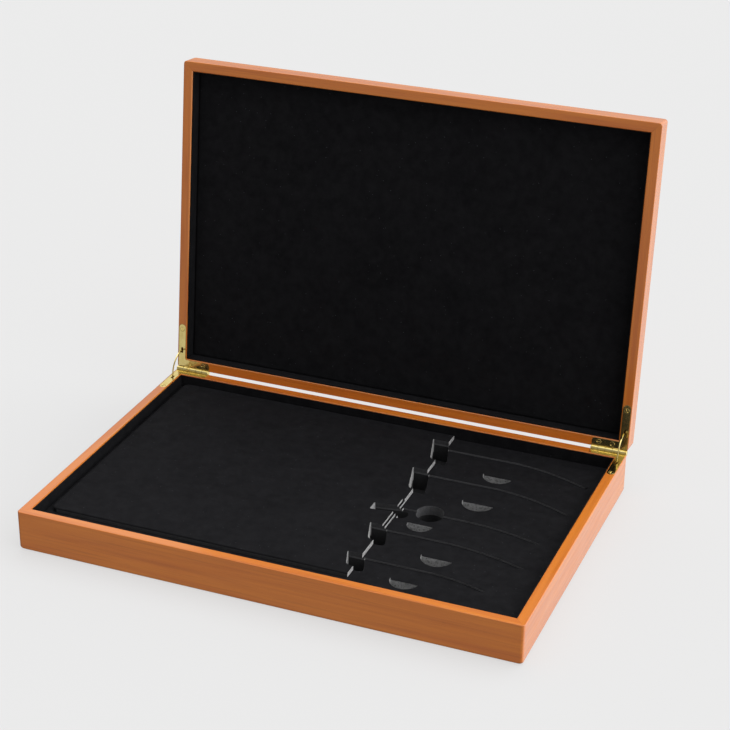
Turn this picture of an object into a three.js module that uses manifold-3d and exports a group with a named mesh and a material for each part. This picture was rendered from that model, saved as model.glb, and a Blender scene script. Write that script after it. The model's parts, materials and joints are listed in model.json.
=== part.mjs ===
// Knife display case: a hinged hardwood box whose foam insert holds five blades.
// Millimetres, +Z up, +Y to the hinge side. The origin is the centre of the underside.
// The lid stands open against the stays of its two quadrant hinges.
import * as THREE from 'three';
import { mergeVertices } from 'three/addons/utils/BufferGeometryUtils.js';
import Module from 'manifold-3d';

const wasm = await Module();
wasm.setup();

// Wooden case
const CASE_WIDTH = 400;
const CASE_DEPTH = 266;
const BASE_HEIGHT = 32.7;
const LID_HEIGHT = 19.6;
const WALL = 8.1;
const BOTTOM_PANEL = 3;
const TOP_PANEL = 4;
const REBATE = 2;
const CORNER_RADIUS = 2.4;
const BASE_ROUND = 1.6;
const LID_ROUND = 2.4;
const RIM_ROUND = 0.7;
const RIM_ARRIS = 0.5;
const GLUE_LINE = 0.05;

// Flocked lining boards
const LINER = 0.8;
const LINER_DROP = 0.7;
const LINER_FIT = 0.1;

// Foam insert, with depths measured down from the rim of the base
const BED_DEPTH = 10.5;
const BED_LENGTH = 132.8;
const BED_THICKNESS = 6.4;
const SHEET_THICKNESS = 1.6;
const INSERT_FIT = 0.3;
const SLOT_FLOOR = 6.5;
const PAD_DEPTH = 7;
const PAD_LEFT_GAP = 4.6;
const PAD_BACK_GAP = 1;
const PAD_FRONT_GAP = 17.5;
const PAD_CORNER = 5;
const PAD_ROUND = 1.3;
const LEDGE_WIDTH = 1.8;
const LEDGE_DEPTH = 1.7;
const LEDGE_BACK = 9.5;
const LEDGE_FRONT = -36;

// Padded board in the lid, with its depth measured from the lid's rim
const LID_RECESS = 10.5;
const LID_PAD_ROUND = 1.6;

// Blade beds, each with the deep slot for its bolster and a scoop for a fingertip.
// Places along X run from the cut edge of the pad, and places along Y from the case's middle.
const BLADE_HEEL = 1.8;
const HEEL_BEND = 7.3;
const HEEL_RUN = 14.7;
const SPINE_DROP = 0.12;
const BELLY_RISE = 0.25;
const SLOT_WIDTH = 13.5;
const SLOT_CORNER = 1.2;
const SLOT_FRONT_CORNER = 4.5;
const BLADES = [
  {
    blade: { spine: 104.4, edge: 77.7, heelEdge: 84.5, spineRun: 58.8, edgeStart: 39.8, edgeEnd: 69.8 },
    tip: { x: 122.3, y: 86.3 },
    scoop: { x: 53, radius: 12 },
    slot: { left: -13.6, back: 110.5, front: 77.8, slant: 9.2 },
  },
  {
    blade: { spine: 58.9, edge: 31.9, heelEdge: 37.5, spineRun: 58.8, edgeStart: 39.8, edgeEnd: 73.8 },
    tip: { x: 121.8, y: 40.4 },
    scoop: { x: 52.4, radius: 12.8 },
    slot: { left: -12.2, back: 59.8, front: 27.2, slant: 8.4 },
  },
  {
    blade: { spine: -32.6, edge: -56, heelEdge: -50.5, spineRun: 48.8, edgeStart: 37.8, edgeEnd: 69.8 },
    tip: { x: 114.3, y: -46.2 },
    scoop: { x: 50.6, radius: 12.3 },
    slot: { left: -11.6, back: -32.8, front: -55.8, slant: 7 },
  },
  {
    blade: { spine: -76.6, edge: -94.8, heelEdge: -89, spineRun: 53.8, edgeStart: 28.8, edgeEnd: 58.8 },
    tip: { x: 97.3, y: -86 },
    scoop: { x: 39.8, radius: 11 },
    slot: { left: -11.6, back: -77.6, front: -95.5, slant: 6 },
  },
];

// The slim blade has a slot for its tang in the pad and a round hole beside its spine
const SLIM_BLADE = {
  blade: { spine: 2.6, edge: -16.6, heelEdge: -13.5, spineRun: 55.8, edgeStart: 35.8, edgeEnd: 68.8 },
  tip: { x: 114.3, y: -8.6 },
  scoop: { x: 22.4, radius: 10 },
};
const TANG_SLOT = { left: -19.7, right: 7.8, back: -4, width: 9.8, slant: 4.4 };
const PINCH_HOLE = { x: 23.2, y: 3.2, radius: 10.7 };

// Quadrant hinges
const LID_OPEN = THREE.MathUtils.degToRad(96.7);
const HINGE_SETBACK = 1.4;
const RIM_GAP = 0.3;
const LEAF_THICKNESS = 1.6;
const LEAF_WIDTH = 6.4;
const LEAF_FIT = 0.1;
const BACK_LEG = 30;
const BACK_LEG_CORNER = 2.6;
const LEG_FILLET = 1.5;
const BASE_LEG = 36.4;
const LID_LEG = 39;
const BARREL_RADIUS = 2.5;
const BARREL_END = 0.3;
const KNUCKLES = 5;
const KNUCKLE_GAP = 0.16;
const BARREL_CLEARANCE = 0.25;
const PIN_RADIUS = 1;
const PIN_FIT = 0.06;
const PIN_CHAMFER = 0.25;

// Curved stays that stop the lid
const STAY_INNER = 15.1;
const STAY_OUTER = 18.9;
const STAY_THICKNESS = 1.2;
const STAY_HEAD_WIDTH = 2.8;
const STAY_HEAD_LENGTH = 1.5;
const STAY_HEAD_INSET = 0.3;
const STAY_PLAY = 0.3;
const STAY_SHARE = 0.6;
const STAY_SLOT_FIT = 0.25;
const STAY_SLOT_END = 0.6;
const MORTISE_CLEARANCE = 0.5;
const MORTISE_SIDE_FIT = 0.3;

// Countersunk hinge screws
const SCREW_HEAD_RADIUS = 1.8;
const SCREW_HEAD_RIM = 0.1;
const SCREW_RADIUS = 0.95;
const SCREW_LENGTH = 8;
const SCREW_SINK = 1;
const SCREW_TAPER = 1.6;
const SCREW_POINT = 0.3;
const SCREW_FIT = 0.06;
const SCREW_GROOVE = 0.5;
const SCREW_GROOVE_DEPTH = 0.45;
const BACK_SCREWS = [13, 24];
const BASE_LEG_SCREW = 33;
const LID_LEG_SCREW = 34.5;

// Facets of round forms, the least radius of a shrunken corner, and how far a cut runs past a face
const CORNER_STEPS = 4;
const ROUND_STEPS = 3;
const ROD_SIDES = 20;
const SCREW_SIDES = 12;
const CURVE_STEPS = 10;
const HOLE_STEPS = 20;
const STAY_STEPS = 26;
const LEAST_CORNER = 0.4;
const THROUGH = 1;

// Worked out from the sizes above
const AXIS_Y = CASE_DEPTH / 2 + HINGE_SETBACK;
const AXIS_Z = BASE_HEIGHT + RIM_GAP / 2;
const INNER_WIDTH = CASE_WIDTH - 2 * WALL;
const INNER_DEPTH = CASE_DEPTH - 2 * WALL;
const LINED_X = INNER_WIDTH / 2 - LINER_FIT - LINER;
const LINED_Y = INNER_DEPTH / 2 - LINER_FIT - LINER;
const BED_TOP = BASE_HEIGHT - BED_DEPTH;
const PAD_TOP = BASE_HEIGHT - PAD_DEPTH;
const SHEET_FLOOR = BED_TOP - SHEET_THICKNESS;
const CORE_TOP = SHEET_FLOOR - BED_THICKNESS;
const PAD_EDGE = LINED_X - BED_LENGTH;

// Each half of the case seen rim up: where its rim is, and the place along Y that
// lies a given distance from the hinge axis. The lid lies open, flat behind the base.
const BASE = {
  name: 'base',
  rim: BASE_HEIGHT,
  height: BASE_HEIGHT,
  panel: BOTTOM_PANEL,
  outerRound: BASE_ROUND,
  front: -1,
  y: (distance) => AXIS_Y - distance,
  leg: BASE_LEG,
  legScrew: BASE_LEG_SCREW,
};
const LID = {
  name: 'lid',
  rim: -RIM_GAP / 2,
  height: LID_HEIGHT,
  panel: TOP_PANEL,
  outerRound: LID_ROUND,
  front: 1,
  y: (distance) => distance,
  leg: LID_LEG,
  legScrew: LID_LEG_SCREW,
};
const SIDES = [
  { name: 'left', x: (inward) => -CASE_WIDTH / 2 + inward },
  { name: 'right', x: (inward) => CASE_WIDTH / 2 - inward },
];

// Finishes
const WOOD = { color: 0xa85a26, roughness: 0.35, metalness: 0 };
const FLOCK = { color: 0x161618, roughness: 1, metalness: 0 };
const RAW_FOAM = { color: 0x55555a, roughness: 1, metalness: 0 };
const BRASS = { color: 0xc9ae5a, roughness: 0.25, metalness: 1 };

// Solids and cuts

function solid(geometry) {
  geometry.deleteAttribute('normal');
  geometry.deleteAttribute('uv');
  const merged = mergeVertices(geometry, 1e-5);
  return new wasm.Manifold(new wasm.Mesh({
    numProp: 3,
    vertProperties: new Float32Array(merged.attributes.position.array),
    triVerts: new Uint32Array(merged.index.array),
  }));
}

function cut(body, ...tools) {
  return tools.flat(Infinity).reduce((rest, tool) => rest.subtract(tool), body);
}

function join(...bodies) {
  return bodies.flat(Infinity).reduce((whole, body) => whole.add(body));
}

function piece(name, body, finish) {
  const mesh = body.getMesh();
  const geometry = new THREE.BufferGeometry();
  const points = new Float32Array(mesh.numVert * 3);
  for (let i = 0; i < mesh.numVert; i += 1) {
    for (let k = 0; k < 3; k += 1) {
      points[3 * i + k] = mesh.vertProperties[mesh.numProp * i + k];
    }
  }
  geometry.setAttribute('position', new THREE.BufferAttribute(points, 3));
  geometry.setIndex(new THREE.BufferAttribute(new Uint32Array(mesh.triVerts), 1));
  geometry.computeVertexNormals();
  const result = new THREE.Mesh(geometry, new THREE.MeshStandardMaterial(finish));
  result.name = name;
  return result;
}

// Basic forms

// A block between two corners, given as ranges along X, Y and Z in any order.
function block(x, y, z) {
  const sizes = [x, y, z].map(([a, b]) => Math.abs(b - a));
  const middles = [x, y, z].map(([a, b]) => (a + b) / 2);
  return solid(new THREE.BoxGeometry(...sizes).translate(...middles));
}

// An outline in plan, given a height, and moved along X.
function plate(shape, low, high, steps = CURVE_STEPS, x = 0) {
  const settings = { depth: high - low, bevelEnabled: false, curveSegments: steps };
  return solid(new THREE.ExtrudeGeometry(shape, settings).translate(x, 0, low));
}

// An outline in Y and Z, given a width along X between two places.
function slice(shape, x1, x2) {
  const geometry = new THREE.ExtrudeGeometry(shape, { depth: Math.abs(x2 - x1), bevelEnabled: false });
  const turn = new THREE.Matrix4().makeBasis(
    new THREE.Vector3(0, 1, 0),
    new THREE.Vector3(0, 0, 1),
    new THREE.Vector3(1, 0, 0),
  );
  geometry.applyMatrix4(turn);
  return solid(geometry.translate(Math.min(x1, x2), 0, 0));
}

// A round rod along X.
function rod(radius, x1, x2, y, z) {
  const geometry = new THREE.CylinderGeometry(radius, radius, Math.abs(x2 - x1), ROD_SIDES);
  geometry.rotateZ(Math.PI / 2);
  return solid(geometry.translate((x1 + x2) / 2, y, z));
}

// A turned form with its axis upright.
function turned(profile, x, y, z, sides = SCREW_SIDES) {
  const points = profile.map(([r, h]) => new THREE.Vector2(r, h));
  const geometry = new THREE.LatheGeometry(points, sides);
  geometry.rotateX(Math.PI / 2);
  return solid(geometry.translate(x, y, z));
}

// The corner points of a rounded rectangle, counter-clockwise from above.
function roundedOutline(width, depth, radius) {
  const points = [];
  for (let corner = 0; corner < 4; corner += 1) {
    const start = (corner * Math.PI) / 2;
    const towardX = corner === 0 || corner === 3 ? 1 : -1;
    const towardY = corner < 2 ? 1 : -1;
    for (let step = 0; step <= CORNER_STEPS; step += 1) {
      const angle = start + (step / CORNER_STEPS) * (Math.PI / 2);
      points.push([
        towardX * (width / 2 - radius) + radius * Math.cos(angle),
        towardY * (depth / 2 - radius) + radius * Math.sin(angle),
      ]);
    }
  }
  return points;
}

// A closed skin over outlines of equal length, each at its own height.
function loft(levels) {
  const count = levels[0].outline.length;
  const points = levels.flatMap(({ outline, z }) => outline.flatMap(([x, y]) => [x, y, z]));
  const faces = [];
  for (let level = 0; level < levels.length - 1; level += 1) {
    for (let i = 0; i < count; i += 1) {
      const a = level * count + i;
      const b = level * count + ((i + 1) % count);
      faces.push(a, b, b + count, a, b + count, a + count);
    }
  }
  const top = (levels.length - 1) * count;
  for (let i = 1; i < count - 1; i += 1) {
    faces.push(0, i + 1, i, top, top + i, top + i + 1);
  }
  const geometry = new THREE.BufferGeometry();
  geometry.setAttribute('position', new THREE.Float32BufferAttribute(points, 3));
  geometry.setIndex(faces);
  return solid(geometry);
}

// A box whose upright corners, lower edges and upper edges are rounded.
function softBox({ width, depth, low, high, corner, lower = 0, upper = 0, x = 0, y = 0 }) {
  const levels = [];
  const ring = (inset, z) => {
    const radius = Math.max(corner - inset, LEAST_CORNER);
    const outline = roundedOutline(width - 2 * inset, depth - 2 * inset, radius);
    levels.push({ outline: outline.map(([px, py]) => [px + x, py + y]), z });
  };
  const edge = (radius, at, up) => {
    for (let step = 0; step <= ROUND_STEPS; step += 1) {
      const part = up ? step : ROUND_STEPS - step;
      const angle = (part / ROUND_STEPS) * (Math.PI / 2);
      ring(radius * (1 - Math.cos(angle)), at + (up ? -1 : 1) * radius * (1 - Math.sin(angle)));
    }
  };
  if (lower > 0) {
    edge(lower, low, false);
  } else {
    ring(0, low);
  }
  if (upper > 0) {
    edge(upper, high, true);
  } else {
    ring(0, high);
  }
  return loft(levels);
}

// A closed outline whose corners each have their own radius.
function roundedPolygon(corners) {
  const shape = new THREE.Shape();
  const toward = (from, to, distance) => {
    const part = distance / Math.hypot(to.x - from.x, to.y - from.y);
    return [from.x + (to.x - from.x) * part, from.y + (to.y - from.y) * part];
  };
  corners.forEach((corner, i) => {
    const before = corners[(i + corners.length - 1) % corners.length];
    const after = corners[(i + 1) % corners.length];
    const start = toward(corner, before, corner.r);
    if (i === 0) {
      shape.moveTo(...start);
    } else {
      shape.lineTo(...start);
    }
    shape.quadraticCurveTo(corner.x, corner.y, ...toward(corner, after, corner.r));
  });
  shape.closePath();
  return shape;
}

// Wooden trays

// The plan of one mitred rail, a little short of its neighbours for the glue.
function mitreWedge(turns, yMiddle) {
  const alongX = turns % 2 === 0;
  const half = { x: CASE_WIDTH / 2, y: CASE_DEPTH / 2 };
  const [run, reach] = alongX ? [half.x, half.y] : [half.y, half.x];
  const glue = GLUE_LINE / Math.SQRT2;
  const inset = WALL + THROUGH;
  const outline = [
    [-run - THROUGH + glue, reach + THROUGH],
    [run + THROUGH - glue, reach + THROUGH],
    [run - inset - glue, reach - inset],
    [-run + inset + glue, reach - inset],
  ];
  const angle = (turns * Math.PI) / 2;
  const [c, s] = [Math.round(Math.cos(angle)), Math.round(Math.sin(angle))];
  return new THREE.Shape(outline.map(([x, y]) => new THREE.Vector2(x * c - y * s, x * s + y * c + yMiddle)));
}

// Four mitred rails and the panel in their rebate, made rim up.
function tray(half, panelName) {
  const yMiddle = half.y(HINGE_SETBACK + CASE_DEPTH / 2);
  const floor = half.rim - half.height;
  const shell = softBox({
    width: CASE_WIDTH,
    depth: CASE_DEPTH,
    low: floor,
    high: half.rim,
    corner: CORNER_RADIUS,
    lower: half.outerRound,
    upper: RIM_ROUND,
    y: yMiddle,
  });
  const opening = (grow, z) => {
    const [x, y] = [INNER_WIDTH / 2 + grow, INNER_DEPTH / 2 + grow];
    return { outline: [[x, yMiddle + y], [-x, yMiddle + y], [-x, yMiddle - y], [x, yMiddle - y]], z };
  };
  const well = loft([
    opening(0, floor - THROUGH),
    opening(0, half.rim - RIM_ARRIS),
    opening(RIM_ARRIS, half.rim),
    opening(RIM_ARRIS, half.rim + THROUGH),
  ]);
  const seat = { x: INNER_WIDTH / 2 + REBATE, y: INNER_DEPTH / 2 + REBATE };
  const rebate = block(
    [-seat.x, seat.x],
    [yMiddle - seat.y, yMiddle + seat.y],
    [floor - THROUGH, floor + half.panel + GLUE_LINE],
  );
  const frame = cut(shell, well, rebate, SIDES.map((side) => hingeBeds(half, side)));
  const quarterTurns = half.front > 0
    ? { front: 0, left: 1, back: 2, right: 3 }
    : { back: 0, left: 1, front: 2, right: 3 };
  const rails = Object.entries(quarterTurns).map(([place, turns]) => {
    const wedge = plate(mitreWedge(turns, yMiddle), floor - THROUGH, half.rim + THROUGH);
    return piece(`${half.name}_${place}_rail`, frame.intersect(wedge), WOOD);
  });
  const panel = block(
    [-seat.x + GLUE_LINE, seat.x - GLUE_LINE],
    [yMiddle - seat.y + GLUE_LINE, yMiddle + seat.y - GLUE_LINE],
    [floor, floor + half.panel],
  );
  return [...rails, piece(panelName, panel, WOOD)];
}

// Thin flocked boards on the inner faces of the rails.
function liners(half) {
  const yMiddle = half.y(HINGE_SETBACK + CASE_DEPTH / 2);
  const z = [half.rim - half.height + half.panel + LINER_FIT, half.rim - LINER_DROP];
  const [x, y] = [LINED_X + LINER, LINED_Y + LINER];
  const between = [yMiddle - LINED_Y + LINER_FIT, yMiddle + LINED_Y - LINER_FIT];
  const boards = {
    front: block([-x, x], [yMiddle + half.front * y, yMiddle + half.front * LINED_Y], z),
    back: block([-x, x], [yMiddle - half.front * y, yMiddle - half.front * LINED_Y], z),
    left: block([-x, -LINED_X], between, z),
    right: block([x, LINED_X], between, z),
  };
  return Object.entries(boards).map(([place, board]) => piece(`${half.name}_${place}_liner`, board, FLOCK));
}

// Quadrant hinges

const KNUCKLE_PITCH = (BACK_LEG - BARREL_END) / KNUCKLES;
const LEG_MARGIN = (WALL - LEAF_WIDTH) / 2;
const LEG_MIDDLE = WALL / 2;
const LEAF_BACK = HINGE_SETBACK + WALL - LEG_MARGIN;
const LEAF_UNDERSIDE = RIM_GAP / 2 + LEAF_THICKNESS;

// The length of a curve's handles, as a share of the radius, that draws a quarter circle
const ARC_BOW = (4 / 3) * (Math.SQRT2 - 1);

// How far the stay reaches past the axis plane of each leaf, as angles
const HEAD_START = Math.asin((LEAF_UNDERSIDE + STAY_PLAY) / (STAY_INNER + STAY_HEAD_INSET));
const HEAD_ANGLE = (2 * STAY_HEAD_LENGTH) / (STAY_INNER + STAY_OUTER);
const BASE_SWEEP = HEAD_START + HEAD_ANGLE + STAY_SHARE * LID_OPEN;
const LID_SWEEP = HEAD_START + HEAD_ANGLE + (1 - STAY_SHARE) * LID_OPEN;

// The L of a leaf in plan, grown by an amount all round.
function leafOutline(half, side, grow) {
  const near = LEG_MARGIN - grow;
  const far = LEG_MARGIN + LEAF_WIDTH + grow;
  const end = HINGE_SETBACK + half.leg + grow;
  const round = (far - near) / 2;
  const back = LEAF_BACK + grow;
  const reach = BACK_LEG + grow;
  const corner = BACK_LEG_CORNER + grow;
  const fillet = LEG_FILLET - grow;
  const slack = 1 - ARC_BOW;
  const shape = new THREE.Shape();
  const at = ([inward, distance]) => [side.x(inward), half.y(distance)];
  const line = (point) => shape.lineTo(...at(point));
  const curve = (...points) => shape.bezierCurveTo(...points.flatMap(at));
  shape.moveTo(...at([near, 0]));
  line([near, end - round]);
  curve([near, end - round * slack], [near + round * slack, end], [near + round, end]);
  curve([far - round * slack, end], [far, end - round * slack], [far, end - round]);
  line([far, back + fillet]);
  curve([far, back + fillet * slack], [far + fillet * slack, back], [far + fillet, back]);
  line([reach - corner, back]);
  curve([reach - corner * slack, back], [reach, back - corner * slack], [reach, back - corner]);
  line([reach, 0]);
  shape.closePath();
  return shape;
}

// A straight slot with round ends, along Y.
function slotOutline(x, y1, y2, width) {
  const low = Math.min(y1, y2) + width / 2;
  const high = Math.max(y1, y2) - width / 2;
  const shape = new THREE.Shape();
  shape.absarc(x, high, width / 2, 0, Math.PI, false);
  shape.absarc(x, low, width / 2, Math.PI, 2 * Math.PI, false);
  shape.closePath();
  return shape;
}

// Places of the three screws of one leaf, as distances from the side face and the axis.
function screwPlaces(half) {
  const backMiddle = (BARREL_RADIUS + BARREL_CLEARANCE + LEAF_BACK) / 2;
  return [
    ...BACK_SCREWS.map((inward) => [inward, backMiddle]),
    [LEG_MIDDLE, HINGE_SETBACK + half.legScrew],
  ];
}

// A countersunk screw, or its hole when it is grown.
function screwForms(half, side, grow) {
  const profile = [
    [0, -SCREW_LENGTH - grow],
    [SCREW_POINT + grow, -SCREW_LENGTH - grow],
    [SCREW_RADIUS + grow, -SCREW_LENGTH + SCREW_TAPER],
    [SCREW_RADIUS + grow, -SCREW_SINK],
    [SCREW_HEAD_RADIUS + grow, -SCREW_HEAD_RIM],
    [SCREW_HEAD_RADIUS + grow, 0],
    [0, 0],
  ];
  return screwPlaces(half).map(([inward, distance]) => (
    turned(profile, side.x(inward), half.y(distance), half.rim)
  ));
}

// Everything that one hinge needs cut out of a tray's rim.
function hingeBeds(half, side) {
  const axisZ = half.rim + RIM_GAP / 2;
  const bedFloor = half.rim - LEAF_THICKNESS - LEAF_FIT;
  const bed = plate(leafOutline(half, side, LEAF_FIT), bedFloor, half.rim + THROUGH);
  const hollow = rod(
    BARREL_RADIUS + BARREL_CLEARANCE,
    side.x(-THROUGH),
    side.x(BACK_LEG + BARREL_CLEARANCE),
    half.y(0),
    axisZ,
  );
  const sweep = half === BASE ? BASE_SWEEP : LID_SWEEP;
  const near = STAY_INNER * Math.cos(sweep) - MORTISE_CLEARANCE;
  const deep = STAY_OUTER * Math.sin(sweep) + MORTISE_CLEARANCE;
  const width = STAY_HEAD_WIDTH + 2 * MORTISE_SIDE_FIT;
  const slot = slotOutline(side.x(LEG_MIDDLE), half.y(near), half.y(STAY_OUTER + MORTISE_CLEARANCE), width);
  const mortise = plate(slot, axisZ - deep, half.rim + THROUGH, CORNER_STEPS);
  return [bed, hollow, mortise, screwForms(half, side, SCREW_FIT)];
}

// One leaf with its knuckles, its slot for the stay and its countersinks.
function leaf(half, side) {
  const axisZ = half.rim + RIM_GAP / 2;
  const own = half === BASE ? 0 : 1;
  const barrel = (index, radius, gap) => rod(
    radius,
    side.x(BARREL_END + index * KNUCKLE_PITCH + gap / 2),
    side.x(BARREL_END + (index + 1) * KNUCKLE_PITCH - gap / 2),
    half.y(0),
    axisZ,
  );
  const indices = [...Array(KNUCKLES).keys()];
  const knuckles = indices.filter((i) => i % 2 === own).map((i) => barrel(i, BARREL_RADIUS, KNUCKLE_GAP));
  const bays = indices.filter((i) => i % 2 !== own)
    .map((i) => barrel(i, BARREL_RADIUS + BARREL_CLEARANCE, -KNUCKLE_GAP));
  const bore = rod(PIN_RADIUS + PIN_FIT, side.x(-THROUGH), side.x(BACK_LEG + THROUGH), half.y(0), axisZ);
  const slot = slotOutline(
    side.x(LEG_MIDDLE),
    half.y(STAY_INNER - STAY_SLOT_END),
    half.y(STAY_OUTER + STAY_SLOT_END),
    STAY_THICKNESS + 2 * STAY_SLOT_FIT,
  );
  const window = plate(slot, half.rim - LEAF_THICKNESS - THROUGH, half.rim + THROUGH, CORNER_STEPS);
  const blank = plate(leafOutline(half, side, 0), half.rim - LEAF_THICKNESS, half.rim);
  const body = cut(join(cut(blank, bays), knuckles), bore, window, screwForms(half, side, SCREW_FIT));
  return piece(`${side.name}_hinge_${half.name}_leaf`, body, BRASS);
}

function pin(side) {
  const length = BACK_LEG - BARREL_END;
  const profile = [
    [0, -length / 2],
    [PIN_RADIUS - PIN_CHAMFER, -length / 2],
    [PIN_RADIUS, -length / 2 + PIN_CHAMFER],
    [PIN_RADIUS, length / 2 - PIN_CHAMFER],
    [PIN_RADIUS - PIN_CHAMFER, length / 2],
    [0, length / 2],
  ].map(([r, h]) => new THREE.Vector2(r, h));
  const geometry = new THREE.LatheGeometry(profile, ROD_SIDES);
  geometry.rotateZ(Math.PI / 2);
  geometry.translate(side.x(BARREL_END + length / 2), AXIS_Y, AXIS_Z);
  return piece(`${side.name}_hinge_pin`, solid(geometry), BRASS);
}

// A band of a ring about the hinge axis. Angles rise from the base's rim to the lid.
function ringBand(inner, outer, from, to, steps) {
  const at = (radius, angle) => new THREE.Vector2(
    AXIS_Y - radius * Math.cos(angle),
    AXIS_Z + radius * Math.sin(angle),
  );
  const angles = [...Array(steps + 1).keys()].map((i) => from + ((to - from) * i) / steps);
  return new THREE.Shape([
    ...angles.map((angle) => at(outer, angle)),
    ...angles.reverse().map((angle) => at(inner, angle)),
  ]);
}

// A curved stay with a cross head at each end, caught under the two leaves.
function stay(side) {
  const from = -(HEAD_START + HEAD_ANGLE);
  const to = LID_OPEN + HEAD_START + HEAD_ANGLE;
  const band = (inner, outer, start, end, width, steps) => slice(
    ringBand(inner, outer, start, end, steps),
    side.x(LEG_MIDDLE - width / 2),
    side.x(LEG_MIDDLE + width / 2),
  );
  const headInner = STAY_INNER + STAY_HEAD_INSET;
  const headOuter = STAY_OUTER - STAY_HEAD_INSET;
  const body = join(
    band(STAY_INNER, STAY_OUTER, from, to, STAY_THICKNESS, STAY_STEPS),
    band(headInner, headOuter, from, from + HEAD_ANGLE, STAY_HEAD_WIDTH, 1),
    band(headInner, headOuter, to - HEAD_ANGLE, to, STAY_HEAD_WIDTH, 1),
  );
  return piece(`${side.name}_hinge_stay`, body, BRASS);
}

function screws(half, side) {
  const places = screwPlaces(half);
  return screwForms(half, side, 0).map((blank, i) => {
    const [x, y] = [side.x(places[i][0]), half.y(places[i][1])];
    const groove = block(
      [x - SCREW_HEAD_RADIUS - THROUGH, x + SCREW_HEAD_RADIUS + THROUGH],
      [y - SCREW_GROOVE / 2, y + SCREW_GROOVE / 2],
      [half.rim - SCREW_GROOVE_DEPTH, half.rim + THROUGH],
    );
    return piece(`${side.name}_hinge_${half.name}_screw_${i + 1}`, cut(blank, groove), BRASS);
  });
}

// Foam insert

// A blade lying on its side: straight spine, tip, belly and a shallower heel.
function bladeOutline({ blade, tip }) {
  const { spine, edge, heelEdge, spineRun, edgeStart, edgeEnd } = blade;
  const upper = [(spineRun + tip.x) / 2, spine - (spine - tip.y) * SPINE_DROP];
  const belly = [(edgeEnd + tip.x) / 2, edge + (tip.y - edge) * BELLY_RISE];
  const shape = new THREE.Shape();
  shape.moveTo(BLADE_HEEL, spine);
  shape.lineTo(spineRun, spine);
  shape.quadraticCurveTo(...upper, tip.x, tip.y);
  shape.quadraticCurveTo(...belly, edgeEnd, edge);
  shape.lineTo(edgeStart, edge);
  shape.quadraticCurveTo(edgeStart - HEEL_BEND, edge, edgeStart - HEEL_RUN, heelEdge);
  shape.lineTo(BLADE_HEEL, heelEdge);
  shape.closePath();
  return shape;
}

// A half moon in front of a blade's edge.
function scoopOutline({ blade, scoop }) {
  const shape = new THREE.Shape();
  shape.absarc(scoop.x, blade.edge, scoop.radius, Math.PI, 2 * Math.PI, false);
  shape.closePath();
  return shape;
}

// A slot that leans to the right as it comes forward.
function bolsterSlotOutline({ left, back, front, slant }) {
  return roundedPolygon([
    { x: left, y: back, r: SLOT_CORNER },
    { x: left + slant, y: front, r: SLOT_FRONT_CORNER },
    { x: left + slant + SLOT_WIDTH, y: front, r: SLOT_FRONT_CORNER },
    { x: left + SLOT_WIDTH, y: back, r: SLOT_CORNER },
  ]);
}

// A slot that leans to the back as it comes to the blade.
function tangSlotOutline({ left, right, back, width, slant }) {
  return roundedPolygon([
    { x: left, y: back, r: SLOT_CORNER },
    { x: left, y: back - width, r: SLOT_CORNER },
    { x: right, y: back - width + slant, r: SLOT_FRONT_CORNER },
    { x: right, y: back + slant, r: SLOT_FRONT_CORNER },
  ]);
}

function roundHole({ x, y, radius }) {
  const shape = new THREE.Shape();
  shape.absarc(x, y, radius, 0, 2 * Math.PI, false);
  return shape;
}

// Cuts in the foam, open at the top, whose outlines start from the pad's cut edge.
function foamCut(outline, floor, steps = CURVE_STEPS) {
  return plate(outline, floor, BASE_HEIGHT, steps, PAD_EDGE);
}

// Cuts that reach down into the core, and the tang slot, whose floor is the core's top.
function deepCuts() {
  return [
    ...BLADES.map(({ slot }) => foamCut(bolsterSlotOutline(slot), SLOT_FLOOR, CORNER_STEPS)),
    foamCut(roundHole(PINCH_HOLE), SLOT_FLOOR, HOLE_STEPS),
  ];
}

function tangCut() {
  return foamCut(tangSlotOutline(TANG_SLOT), CORE_TOP, CORNER_STEPS);
}

// The insert's three layers: the core under everything, the bed with the scoops,
// and the thin sheet that is cut through to the blades' outlines.
function foamLayers(deep, tang) {
  const [x, y] = [LINED_X - INSERT_FIT, LINED_Y - INSERT_FIT];
  const layer = (low, high) => block([-x, x], [-y, y], [low, high]);
  const core = layer(BOTTOM_PANEL + GLUE_LINE, CORE_TOP);
  const bed = layer(CORE_TOP + GLUE_LINE, SHEET_FLOOR);
  const sheet = layer(SHEET_FLOOR + GLUE_LINE, BED_TOP);
  const places = [...BLADES, SLIM_BLADE];
  const scoops = places.map((place) => foamCut(scoopOutline(place), CORE_TOP));
  const outlines = places.map((place) => foamCut(bladeOutline(place), SHEET_FLOOR));
  return [
    piece('foam_core', cut(core, deep), RAW_FOAM),
    piece('foam_bed', cut(bed, deep, tang, scoops), FLOCK),
    piece('blade_sheet', cut(sheet, deep, tang, scoops, outlines), FLOCK),
  ];
}

// The loose pad under the handles: rounded on three sides, cut off square by the blades.
function handlePad(deep, tang) {
  const left = -LINED_X + PAD_LEFT_GAP;
  const right = PAD_EDGE + PAD_CORNER + THROUGH;
  const front = -LINED_Y + PAD_FRONT_GAP;
  const back = LINED_Y - PAD_BACK_GAP;
  const cushion = softBox({
    width: right - left,
    depth: back - front,
    low: BED_TOP + GLUE_LINE,
    high: PAD_TOP,
    corner: PAD_CORNER,
    upper: PAD_ROUND,
    x: (right + left) / 2,
    y: (front + back) / 2,
  });
  const trim = block([PAD_EDGE, right + THROUGH], [front - THROUGH, back + THROUGH], [0, BASE_HEIGHT]);
  const ledge = block(
    [PAD_EDGE - LEDGE_WIDTH, right],
    [LEDGE_FRONT, LEDGE_BACK],
    [PAD_TOP - LEDGE_DEPTH, BASE_HEIGHT],
  );
  return piece('handle_pad', cut(cushion, trim, ledge, deep, tang), FLOCK);
}

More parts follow.
